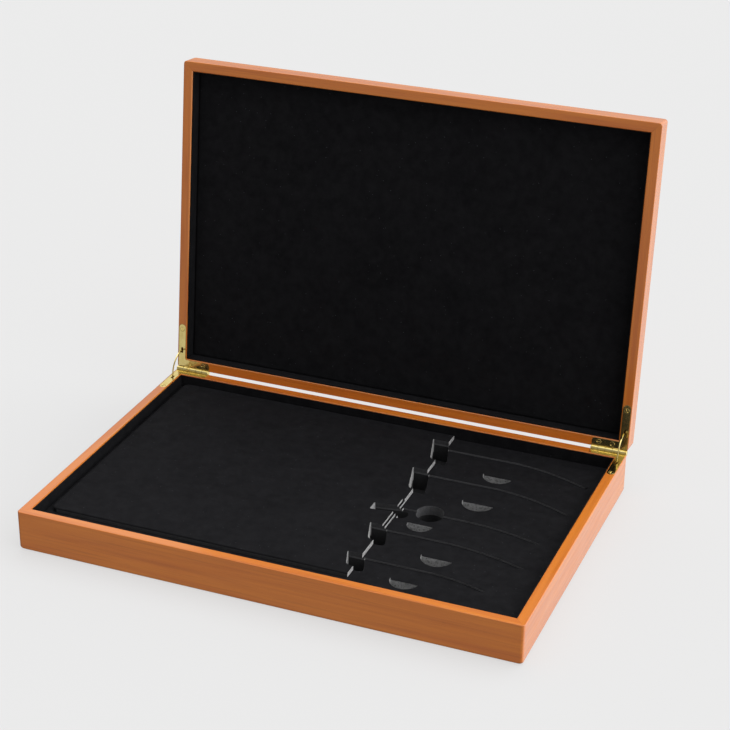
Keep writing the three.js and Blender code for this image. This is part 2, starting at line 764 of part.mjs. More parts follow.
function lidPad() {
  const body = softBox({
    width: 2 * (LINED_X - INSERT_FIT),
    depth: 2 * (LINED_Y - INSERT_FIT),
    low: LID.rim - LID_HEIGHT + TOP_PANEL + GLUE_LINE,
    high: LID.rim - LID_RECESS,
    corner: LID_PAD_ROUND,
    upper: LID_PAD_ROUND,
    y: LID.y(HINGE_SETBACK + CASE_DEPTH / 2),
  });
  return piece('lid_lining_pad', body, FLOCK);
}

// The whole case

const deep = deepCuts();
const tang = tangCut();
const base = new THREE.Group();
base.add(...tray(BASE, 'base_bottom_panel'), ...liners(BASE));
base.add(...foamLayers(deep, tang), handlePad(deep, tang));

// The lid is made lying open, flat behind the base, and turned up about the hinge axis.
const lid = new THREE.Group();
lid.position.set(0, AXIS_Y, AXIS_Z);
lid.rotation.x = Math.PI - LID_OPEN;
lid.add(...tray(LID, 'lid_top_panel'), ...liners(LID), lidPad());

const stays = new THREE.Group();
for (const side of SIDES) {
  base.add(leaf(BASE, side), pin(side), ...screws(BASE, side));
  lid.add(leaf(LID, side), ...screws(LID, side));
  stays.add(stay(side));
}

const knifeCase = new THREE.Group();
knifeCase.add(base, lid, stays);

export default knifeCase;
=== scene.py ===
"""Looks of a knife display case: lacquered halves, flocked foam insert and brass quadrant hinges.

Every piece is made on a bench, in millimetres, with the rim of its half at Z = 0 and the hinge
axis along X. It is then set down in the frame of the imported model, in metres.
"""
from __future__ import annotations

import json
import logging
import math
from collections.abc import Callable, Iterable, Iterator
from contextlib import contextmanager
from dataclasses import dataclass, field
from enum import Enum
from functools import cache
from typing import NamedTuple, Protocol

import bmesh
import bpy
from mathutils import Matrix, Vector


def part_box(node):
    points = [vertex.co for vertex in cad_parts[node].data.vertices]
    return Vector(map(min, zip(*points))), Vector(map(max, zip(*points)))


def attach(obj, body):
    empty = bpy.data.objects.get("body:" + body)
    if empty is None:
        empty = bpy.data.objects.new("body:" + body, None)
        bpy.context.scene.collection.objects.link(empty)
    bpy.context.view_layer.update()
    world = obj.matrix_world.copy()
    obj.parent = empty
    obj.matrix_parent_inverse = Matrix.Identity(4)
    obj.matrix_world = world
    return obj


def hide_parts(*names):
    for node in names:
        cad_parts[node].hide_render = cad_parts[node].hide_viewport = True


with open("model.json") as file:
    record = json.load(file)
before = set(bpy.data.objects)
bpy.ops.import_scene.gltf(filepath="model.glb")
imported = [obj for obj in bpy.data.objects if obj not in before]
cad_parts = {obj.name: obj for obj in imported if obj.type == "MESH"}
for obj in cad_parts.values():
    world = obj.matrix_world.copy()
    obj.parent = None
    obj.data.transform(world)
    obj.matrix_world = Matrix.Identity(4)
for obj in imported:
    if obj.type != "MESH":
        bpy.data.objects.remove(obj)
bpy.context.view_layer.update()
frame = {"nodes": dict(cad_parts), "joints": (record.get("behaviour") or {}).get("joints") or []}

LOG = logging.getLogger("knife_case")

MM = 0.001
NEAR = 0.01
PAST = 1.0
SMOOTH_ANGLE = math.radians(32)
ALONG = Vector((1, 0, 0))
ACROSS = Vector((0, 1, 0))
UPRIGHT = Vector((0, 0, 1))

Colour = tuple[float, float, float, float]
Size = tuple[float, float, float]
Edge = bmesh.types.BMEdge
Test = Callable[..., bool]


class Half(Enum):
    """The two halves of the case, named as their body is."""

    BASE = "base"
    LID = "lid"


class Side(Enum):
    """The two ends of the case, seen from the front."""

    LEFT = "left"
    RIGHT = "right"


class Pick(Enum):
    """What an edit selects."""

    VERT = "verts"
    EDGE = "edges"
    FACE = "faces"


class Join(Enum):
    """How one solid is combined with another."""

    CUT = "DIFFERENCE"
    ADD = "UNION"


def srgb(red: float, green: float, blue: float) -> Colour:
    """Turns a screen's colour, 0 to 255, into the linear one that a shader needs."""

    def linear(value: float) -> float:
        share = value / 255
        return share / 12.92 if share <= 0.04045 else ((share + 0.055) / 1.055) ** 2.4

    return (linear(red), linear(green), linear(blue), 1.0)


# Places


class Box(NamedTuple):
    """The lowest and highest corners of a node, in millimetres on a bench."""

    low: Vector
    high: Vector

    @property
    def middle(self) -> Vector:
        """The centre of the box."""
        return (self.low + self.high) / 2

    @classmethod
    def round(cls, points: list[Vector]) -> Box:
        """The box round some points."""
        return cls(*(Vector([end(point[k] for point in points) for k in range(3)])
                     for end in (min, max)))


@dataclass(frozen=True)
class Bench:
    """A place to model in, with the matrix that sets its millimetres down in the frame."""

    to_frame: Matrix

    def points(self, node: str) -> list[Vector]:
        """The vertices of a CAD node, as they lie on this bench."""
        from_frame = self.to_frame.inverted()
        return [from_frame @ vertex.co for vertex in frame["nodes"][node].data.vertices]

    def measure(self, *nodes: str) -> Box:
        """Measures one or more CAD nodes.

        Args:
            nodes: The names of the nodes.

        Returns:
            The box round all of them, on this bench.
        """
        return Box.round([point for node in nodes for point in self.points(node)])


@dataclass(frozen=True)
class HalfBench(Bench):
    """A bench on which a half lies rim up, with its hinge axis at Y = 0 and its front at +Y."""

    half: Half
    axis_height: float

    def sign(self, side: Side) -> int:
        """Which way along X a side lies on this bench: the base is seen from behind."""
        toward_right = 1 if side is Side.RIGHT else -1
        return -toward_right if self.half is Half.BASE else toward_right

    def node(self, *words: str) -> str:
        """The name of one of this half's own nodes."""
        return "_".join((self.half.value, *words))

    def outside(self) -> Box:
        """The box round the four rails."""
        places = ("front", "back", "left", "right")
        return self.measure(*(self.node(place, "rail") for place in places))


def hinge_joint() -> dict:
    """The joint between the two halves."""
    return next(joint for joint in frame["joints"] if joint["name"] == "lid_hinge")


def lid_turn() -> float:
    """How far the open lid is turned up about the hinge from lying flat behind the base."""
    return math.pi - math.radians(hinge_joint()["range_deg"][1])


def half_bench(half: Half) -> HalfBench:
    """Works out the bench of one half from the hinge joint and the base's rim.

    Args:
        half: The half that lies on it.

    Returns:
        The bench, with the height of the hinge axis above the rim.
    """
    axis = Vector(hinge_joint()["pos_m"]) / MM
    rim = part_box("base_front_rail")[1].z / MM
    rise = axis.z - rim
    if half is Half.BASE:
        place = Matrix.Translation((0, axis.y, rim)) @ Matrix.Rotation(math.pi, 4, "Z")
    else:
        turn = Matrix.Rotation(lid_turn(), 4, "X")
        place = Matrix.Translation(axis) @ turn @ Matrix.Translation((0, 0, -rise))
    return HalfBench(Matrix.Scale(MM, 4) @ place, half, rise)


# Finishes


class Wiring:
    """A tree of shader nodes being wired up."""

    def __init__(self, tree: bpy.types.NodeTree) -> None:
        """Takes up a tree."""
        self.nodes = tree.nodes
        self.links = tree.links

    def feed(self, socket: bpy.types.NodeSocket, value: object) -> None:
        """Links a socket to an output, or sets it to a plain value."""
        if isinstance(value, bpy.types.NodeSocket):
            self.links.new(value, socket)
        else:
            socket.default_value = value

    def add(self, kind: str, output: str, inputs: dict[object, object], **settings: object):
        """Adds a node.

        Args:
            kind: The node's type.
            output: The name of the output that is wanted.
            inputs: What each input socket, by name or place, is fed with.
            settings: The node's own settings.

        Returns:
            The output socket.
        """
        node = self.nodes.new(kind)
        for name, value in settings.items():
            setattr(node, name, value)
        for name, value in inputs.items():
            self.feed(node.inputs[name], value)
        return node.outputs[output]

    def math(self, operation: str, first, second):
        """One step of arithmetic."""
        return self.add("ShaderNodeMath", "Value", {0: first, 1: second}, operation=operation)


class Recipe(Wiring):
    """A material being wired up around its principled shader."""

    def __init__(self, name: str) -> None:
        """Starts a material with a bare principled shader."""
        self.material = bpy.data.materials.new(name)
        self.material.use_nodes = True
        super().__init__(self.material.node_tree)
        self.shader = self.nodes["Principled BSDF"]

    def surface(self, **values: object) -> None:
        """Feeds sockets of the shader, named in lower case with underscores."""
        for name, value in values.items():
            words = name.replace("_", " ").title().replace("Ior", "IOR")
            self.feed(self.shader.inputs[words], value)

    def cells(self, size: Size, turn: Size = (0, 0, 0)):
        """Coordinates on the object that count in cells.

        Args:
            size: The size of one cell along each axis of the pattern, in millimetres.
            turn: How the pattern is turned on the object.

        Returns:
            The vector output.
        """
        where = self.add("ShaderNodeTexCoord", "Object", {})
        scale = tuple(length * MM for length in size)
        inputs = {"Vector": where, "Rotation": turn, "Scale": scale}
        return self.add("ShaderNodeMapping", "Vector", inputs, vector_type="TEXTURE")

    def noise(self, vector, detail: float = 3, roughness: float = 0.5, distortion: float = 0):
        """Soft noise with one lump to a cell."""
        inputs = {"Vector": vector, "Scale": 1.0, "Detail": detail,
                  "Roughness": roughness, "Distortion": distortion}
        return self.add("ShaderNodeTexNoise", "Fac", inputs)

    def spots(self, vector):
        """Round cells scattered at random: the distance to a cell's middle."""
        return self.add("ShaderNodeTexVoronoi", "Distance", {"Vector": vector, "Scale": 1.0})

    def stretch(self, value, low: float, high: float, new_low: float = 0, new_high: float = 1):
        """Maps a range of values onto another, and stops at its ends."""
        inputs = {"Value": value, "From Min": low, "From Max": high,
                  "To Min": new_low, "To Max": new_high}
        return self.add("ShaderNodeMapRange", "Result", inputs)

    def blend(self, factor, first, second):
        """Mixes two colours."""
        node = self.nodes.new("ShaderNodeMix")
        node.data_type = "RGBA"
        colours = [socket for socket in node.inputs if socket.type == "RGBA"]
        for socket, value in zip((node.inputs["Factor"], *colours), (factor, first, second)):
            self.feed(socket, value)
        return next(socket for socket in node.outputs if socket.type == "RGBA")

    def bump(self, height, depth: float, strength: float = 1.0, under=None):
        """Turns a height into a dented normal, with the depth in millimetres."""
        inputs = {"Height": height, "Distance": depth * MM, "Strength": strength}
        if under is not None:
            inputs["Normal"] = under
        return self.add("ShaderNodeBump", "Normal", inputs)


class Finish(Protocol):
    """A surface finish: the record's slot that it belongs to, and how its material is made."""

    slot: str

    def material(self) -> bpy.types.Material:
        """Makes the material."""


class Grain(Enum):
    """The direction of the wood's fibres."""

    CROSSWISE = "crosswise"
    BASE_SIDE = "base_side"
    LID_SIDE = "lid_side"

    def turn(self) -> Size:
        """The rotation that takes the pattern's X axis along the fibres."""
        if self is Grain.CROSSWISE:
            return (0.0, 0.0, 0.0)
        tilt = lid_turn() if self is Grain.LID_SIDE else 0.0
        return (0.0, -tilt, math.pi / 2)


@dataclass(frozen=True)
class LacqueredWood:
    """Honey-coloured hardwood under a satin lacquer."""

    grain: Grain
    slot: str = "lacquered_wood"
    light: Colour = srgb(212, 122, 30)
    deep: Colour = srgb(194, 102, 22)
    line: Colour = srgb(150, 70, 14)
    streak: Size = (90.0, 1.5, 1.5)
    band: Size = (260.0, 9.0, 9.0)
    pore: Size = (5.0, 0.32, 0.32)
    ripple: Size = (30.0, 4.0, 4.0)
    peel: Size = (2.2, 2.2, 2.2)

    def material(self) -> bpy.types.Material:
        """Makes the wood: broad bands, fine streaks and short dark pores, all along the fibres."""
        recipe = Recipe(f"lacquered_wood_{self.grain.value}")
        turn = self.grain.turn()
        band = recipe.noise(recipe.cells(self.band, turn), detail=4, distortion=1.4)
        streak = recipe.noise(
            recipe.cells(self.streak, turn), detail=7, roughness=0.62, distortion=0.5)
        pore = recipe.noise(recipe.cells(self.pore, turn), detail=2)
        tone = recipe.blend(recipe.stretch(band, 0.3, 0.7), self.light, self.deep)
        lined = recipe.blend(recipe.stretch(streak, 0.52, 0.8, 0, 0.55), tone, self.line)
        pored = recipe.blend(recipe.stretch(pore, 0.64, 0.74, 0, 0.3), lined, self.line)
        ripple = recipe.noise(recipe.cells(self.ripple, turn), detail=2)
        peel = recipe.noise(recipe.cells(self.peel), detail=1)
        recipe.surface(
            base_color=pored,
            roughness=recipe.stretch(ripple, 0.3, 0.7, 0.36, 0.5),
            normal=recipe.bump(streak, depth=0.03, strength=0.35),
            coat_normal=recipe.bump(peel, depth=0.02, strength=0.25),
            coat_weight=0.65,
            coat_roughness=0.16,
        )
        return recipe.material


@dataclass(frozen=True)
class BlackFlock:
    """Short black velvet fibres, with a little lint."""

    slot: str = "black_flock"
    light: Colour = srgb(25, 25, 27)
    deep: Colour = srgb(13, 13, 15)
    lint: Colour = srgb(84, 84, 90)
    nap: Size = (7.0, 7.0, 7.0)
    brushing: Size = (30.0, 14.0, 30.0)
    fibre: Size = (0.35, 0.35, 0.35)
    lint_cell: Size = (5.0, 5.0, 5.0)
    lint_radius: float = 0.045

    def material(self) -> bpy.types.Material:
        """Makes the flock: a mottled nap, specks of lint and a soft sheen at grazing angles."""
        recipe = Recipe("black_flock")
        nap = recipe.noise(recipe.cells(self.nap), detail=5, roughness=0.65)
        brushed = recipe.noise(recipe.cells(self.brushing), detail=2, distortion=0.8)
        fibre = recipe.noise(recipe.cells(self.fibre), detail=2)
        parts = [recipe.math("MULTIPLY", nap, 0.7), recipe.math("MULTIPLY", brushed, 0.3)]
        mottle = recipe.math("ADD", *parts)
        tone = recipe.blend(recipe.stretch(mottle, 0.35, 0.65), self.deep, self.light)
        grained = recipe.blend(recipe.stretch(fibre, 0.35, 0.7, 0, 0.35), tone, self.deep)
        near_lint = recipe.math(
            "LESS_THAN", recipe.spots(recipe.cells(self.lint_cell)), self.lint_radius)
        under = recipe.bump(nap, depth=0.25, strength=0.3)
        recipe.surface(
            base_color=recipe.blend(near_lint, grained, self.lint),
            roughness=recipe.stretch(fibre, 0.3, 0.7, 0.88, 1.0),
            normal=recipe.bump(fibre, depth=0.12, strength=0.5, under=under),
            sheen_weight=0.05,
            sheen_roughness=0.45,
            sheen_tint=srgb(150, 150, 160),
            specular_ior_level=0.1,
        )
        return recipe.material


@dataclass(frozen=True)
class RawFoam:
    """Grey foam, all small open cells, as a cut leaves it, or a darker copy of it that is painted
    shade.
    """

    state: str = "sawn"
    light: Colour = srgb(178, 178, 178)
    deep: Colour = srgb(96, 96, 98)
    cell: float = 0.8
    tear: Size = (3.0, 3.0, 3.0)
    slot: str = "raw_foam"

    def material(self) -> bpy.types.Material:
        """Makes the foam: pale skin between dark cells."""
        recipe = Recipe(f"raw_foam_{self.state}")
        cell = recipe.spots(recipe.cells((self.cell,) * 3))
        torn = recipe.noise(recipe.cells(self.tear), detail=5, roughness=0.7)
        pitted = recipe.math(
            "MULTIPLY", recipe.stretch(cell, 0.05, 0.45), recipe.stretch(torn, 0.25, 0.6, 0.5, 1))
        recipe.surface(
            base_color=recipe.blend(pitted, self.deep, self.light),
            roughness=0.95,
            normal=recipe.bump(pitted, depth=0.3, strength=0.8),
            sheen_weight=0.1,
            specular_ior_level=0.2,
        )
        return recipe.material


@dataclass(frozen=True)
class PolishedBrass:
    """Brass polished almost to a mirror, with faint wiping marks."""

    slot: str = "polished_brass"
    bright: Colour = srgb(242, 222, 148)
    dull: Colour = srgb(228, 204, 126)
    stain: Size = (6.0, 6.0, 6.0)
    marks: Size = (14.0, 0.25, 0.25)

    def material(self) -> bpy.types.Material:
        """Makes the brass: its tone and polish vary a little, and hair-fine marks run along it."""
        recipe = Recipe("polished_brass")
        stain = recipe.noise(recipe.cells(self.stain), detail=4, roughness=0.6)
        marks = recipe.noise(recipe.cells(self.marks), detail=3)
        recipe.surface(
            base_color=recipe.blend(recipe.stretch(stain, 0.35, 0.7), self.bright, self.dull),
            metallic=1.0,
            roughness=recipe.stretch(recipe.math("ADD", stain, marks), 0.7, 1.3, 0.1, 0.24),
            normal=recipe.bump(marks, depth=0.01, strength=0.25),
        )
        return recipe.material


@cache
def material_of(finish: Finish) -> bpy.types.Material:
    """The one material of a finish, made when it is first asked for."""
    return finish.material()


# Work on the bench


def upright(edge: Edge) -> bool:
    """Whether an edge stands straight up."""
    first, second = (vertex.co for vertex in edge.verts)
    return (first.xy - second.xy).length < NEAR < abs(first.z - second.z)


def level_at(height: float) -> Test:
    """A test for edges that lie level at a height."""
    return lambda edge: all(abs(vertex.co.z - height) < NEAR for vertex in edge.verts)


def crease(edge: Edge, angle: float = 0.5) -> bool:
    """Whether two faces meet at an edge at more than an angle."""
    return len(edge.link_faces) == 2 and edge.calc_face_angle(0.0) > angle


def rim_at(height: float, angle: float = 0.5) -> Test:
    """A test for creases that lie level at a height."""
    level = level_at(height)
    return lambda edge: level(edge) and crease(edge, angle)


def steep(face: bmesh.types.BMFace | bpy.types.MeshPolygon) -> bool:
    """Whether a face stands steeply."""
    return abs(face.normal.z) < 0.3


def faces_up(face: bmesh.types.BMFace) -> bool:
    """Whether a face looks more up than aside."""
    return face.normal.z > 0.5


def put_down() -> None:
    """Deselects everything, back in object mode."""
    if bpy.context.object and bpy.context.object.mode != "OBJECT":
        bpy.ops.object.mode_set(mode="OBJECT")
    bpy.ops.object.select_all(action="DESELECT")


class Workpiece:
    """A solid on the bench, and the hand tools that shape it."""

    def __init__(self, obj: bpy.types.Object) -> None:
        """Takes up an object."""
        self.obj = obj

    @classmethod
    def _fresh(cls) -> Workpiece:
        """The primitive that was just added, with its place in its mesh."""
        bpy.ops.object.transform_apply(location=True, rotation=True, scale=True)
        return cls(bpy.context.object)

    @classmethod
    def block(cls, low: Iterable[float], high: Iterable[float]) -> Workpiece:
        """A block between two corners."""
        low, high = Vector(low), Vector(high)
        put_down()
        bpy.ops.mesh.primitive_cube_add(size=1, location=(low + high) / 2, scale=high - low)
        return cls._fresh()

    @classmethod
    def rod(cls, radius: float, start: Vector, end: Vector, sides: int) -> Workpiece:
        """A round rod from one point to another."""
        run = end - start
        turn = UPRIGHT.rotation_difference(run).to_euler()
        put_down()
        bpy.ops.mesh.primitive_cylinder_add(
            vertices=sides, radius=radius, depth=run.length,
            location=(start + end) / 2, rotation=turn)
        return cls._fresh()

    @classmethod
    def slot(cls, low: Vector, high: Vector, segments: int) -> Workpiece:
        """A block whose plan has round ends, as wide as its shorter side."""
        body = cls.block(low, high)
        width = min(high.x - low.x, high.y - low.y)
        return body.bevel(upright, width / 2 - NEAR, segments)

    @classmethod
    def copy_of(cls, node: str, bench: Bench) -> Workpiece:
        """A copy of a CAD node on a bench, with its triangles merged and its walls rejoined."""
        mesh = frame["nodes"][node].data.copy()
        mesh.materials.clear()
        obj = bpy.data.objects.new(f"copy_{node}", mesh)
        bpy.context.scene.collection.objects.link(obj)
        mesh.transform(bench.to_frame.inverted())
        piece = cls(obj)
        with piece.editing(Pick.VERT, "SELECT"):
            bpy.ops.mesh.customdata_custom_splitnormals_clear()
            bpy.ops.mesh.remove_doubles(threshold=NEAR / 2)
        with piece.editing(Pick.FACE):
            piece.pick(Pick.FACE, lambda face: abs(face.normal.z) < NEAR)
            bpy.ops.mesh.dissolve_limited(angle_limit=math.radians(0.5))
        return piece

    def twin(self) -> Workpiece:
        """A copy with a mesh of its own."""
        obj = self.obj.copy()
        obj.data = self.obj.data.copy()
        bpy.context.scene.collection.objects.link(obj)
        return Workpiece(obj)

    @property
    def box(self) -> Box:
        """The box round the piece, on the bench."""
        return Box.round([vertex.co for vertex in self.obj.data.vertices])

    def discard(self) -> None:
        """Throws a used tool away."""
        bpy.data.objects.remove(self.obj)

    def take_up(self) -> None:
        """Makes this the one selected, active object."""
        put_down()
        self.obj.select_set(True)
        bpy.context.view_layer.objects.active = self.obj

    @contextmanager
    def editing(self, kind: Pick, action: str = "DESELECT") -> Iterator[None]:
        """Edit mode with nothing selected, or with everything."""
        self.take_up()
        bpy.ops.object.mode_set(mode="EDIT")
        bpy.ops.mesh.select_mode(type=kind.name)
        bpy.ops.mesh.select_all(action=action)
        yield
        bpy.ops.object.mode_set(mode="OBJECT")

    def pick(self, kind: Pick, test: Test) -> int:
        """Selects every element of a kind that passes a test, while editing.

        Args:
            kind: Vertices, edges or faces.
            test: What an element has to pass.

        Returns:
            How many were selected.
        """
        mesh = bmesh.from_edit_mesh(self.obj.data)
        mesh.normal_update()
        chosen = [element for element in getattr(mesh, kind.value) if test(element)]
        for element in chosen:
            element.select_set(True)
        mesh.select_flush_mode()
        bmesh.update_edit_mesh(self.obj.data)
        return len(chosen)

    def bevel(self, test: Test, width: float, segments: int) -> Workpiece:
        """Rounds the edges that pass a test."""
        with self.editing(Pick.EDGE):
            if self.pick(Pick.EDGE, test):
                bpy.ops.mesh.bevel(offset=width, segments=segments, affect="EDGES")
        return self

    def combine(self, how: Join, *tools: Workpiece) -> Workpiece:
        """Cuts tools out of this piece or adds them to it, one after the other."""
        for tool in tools:
            modifier = self.obj.modifiers.new("combine", "BOOLEAN")
            modifier.operation = how.value
            modifier.solver = "EXACT"
            modifier.material_mode = "TRANSFER"
            modifier.object = tool.obj
            self.take_up()
            bpy.ops.object.modifier_apply(modifier=modifier.name)
            tool.discard()
        return self

    def part(self, point: Vector, normal: Vector) -> Workpiece:
        """Saws the piece through, and keeps the part that the normal points to."""
        with self.editing(Pick.FACE, "SELECT"):
            bpy.ops.mesh.bisect(plane_co=point, plane_no=normal, use_fill=True, clear_inner=True)
        return self

    def move(self, matrix: Matrix) -> Workpiece:
        """Moves the mesh itself, and turns its faces back out if the move mirrors it."""
        self.obj.data.transform(matrix)
        if matrix.determinant() < 0:
            with self.editing(Pick.FACE, "SELECT"):
                bpy.ops.mesh.flip_normals()
        return self

    def face_out(self) -> Workpiece:
        """Merges doubled points and turns every face outwards."""
        with self.editing(Pick.FACE, "SELECT"):
            bpy.ops.mesh.remove_doubles(threshold=NEAR / 2)
            bpy.ops.mesh.normals_make_consistent(inside=False)
        return self

    def rule(self, spacing: float, box: Box, test: Test = lambda _: True) -> Workpiece:
        """Scores a grid of lines across the faces that pass a test, so that they can bend."""
        for axis, direction in enumerate((ALONG, ACROSS)):
            span = box.high[axis] - box.low[axis]
            count = int(span / spacing)
            for step in range(1, count + 1):
                with self.editing(Pick.FACE):
                    self.pick(Pick.FACE, test)
                    point = box.low + direction * (step * span / (count + 1))
                    bpy.ops.mesh.bisect(plane_co=point, plane_no=direction)
        return self

    def roughen(self, depth: float, cell: float, test: Test, seed: float = 0) -> Workpiece:
        """Pushes the vertices that pass a test up and down by soft noise.

        Args:
            depth: The whole height of the noise.
            cell: The size of one lump.
            test: What a vertex has to pass.
            seed: Moves the noise along the piece.

        Returns:
            This piece.
        """
        group = self.obj.vertex_groups.new(name="loose")
        group.add([v.index for v in self.obj.data.vertices if test(v)], 1.0, "REPLACE")
        texture = bpy.data.textures.new("lumps", "CLOUDS")
        texture.noise_scale = cell
        texture.noise_depth = 2
        self.obj.data.transform(Matrix.Translation((seed, 0, 0)))
        modifier = self.obj.modifiers.new("roughen", "DISPLACE")
        modifier.texture = texture
        modifier.texture_coords = "LOCAL"
        modifier.direction = "Z"
        modifier.mid_level = 0.5
        modifier.strength = depth
        modifier.vertex_group = group.name
        self.take_up()
        bpy.ops.object.modifier_apply(modifier=modifier.name)
        self.obj.data.transform(Matrix.Translation((-seed, 0, 0)))
        self.obj.vertex_groups.clear()
        return self

    def dress(self, finish: Finish) -> Workpiece:
        """Gives the whole piece one finish."""
        self.obj.data.materials.clear()
        self.obj.data.materials.append(material_of(finish))
        return self

    def paint(self, finish: Finish, test: Test) -> Workpiece:
        """Gives a second finish to the faces that pass a test."""
        materials = self.obj.data.materials
        if material_of(finish).name not in materials:
            materials.append(material_of(finish))
        index = materials.find(material_of(finish).name)
        for polygon in self.obj.data.polygons:
            if test(polygon):
                polygon.material_index = index
        return self

    def install(self, name: str, bench: Bench, body: str, finish: Finish, *nodes: str,
                fill: float | None = None) -> None:
        """Shades the piece, sets it down in the frame and hands it to its body.

        Args:
            name: The piece's name.
            bench: The bench that it lies on.
            body: The body that it moves with.
            finish: Not used.
            nodes: The CAD nodes that it stands for.
            fill: Not used.
        """
        self.take_up()
        bpy.ops.object.shade_smooth_by_angle(angle=SMOOTH_ANGLE)
        modifier = self.obj.modifiers.new("even_shading", "WEIGHTED_NORMAL")
        modifier.keep_sharp = True
        modifier.weight = 100
        bpy.ops.object.modifier_apply(modifier=modifier.name)
        self.obj.data.transform(bench.to_frame)
        self.obj.name = name
        self.obj.data.name = name
        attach(self.obj, body)
        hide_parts(*nodes)
        LOG.info("%s: %d faces, rides on %s", name, len(self.obj.data.polygons), body)


def keep_node(node: str, finish: Finish, ease: float) -> None:
    """Keeps a CAD node, with its edges eased and its finish on.

    Args:
        node: The node's name.
        finish: Its finish.
        ease: How far its edges are rounded, in millimetres.
    """
    obj = frame["nodes"][node]
    weld = obj.modifiers.new("weld", "WELD")
    weld.merge_threshold = NEAR * MM
    bevel = obj.modifiers.new("ease", "BEVEL")
    bevel.width = ease * MM
    bevel.segments = 2
    bevel.limit_method = "ANGLE"
    obj.material_slots[0].material = material_of(finish)
    LOG.info("%s: kept, with its edges eased by %.2f mm", node, ease)


# Hinges


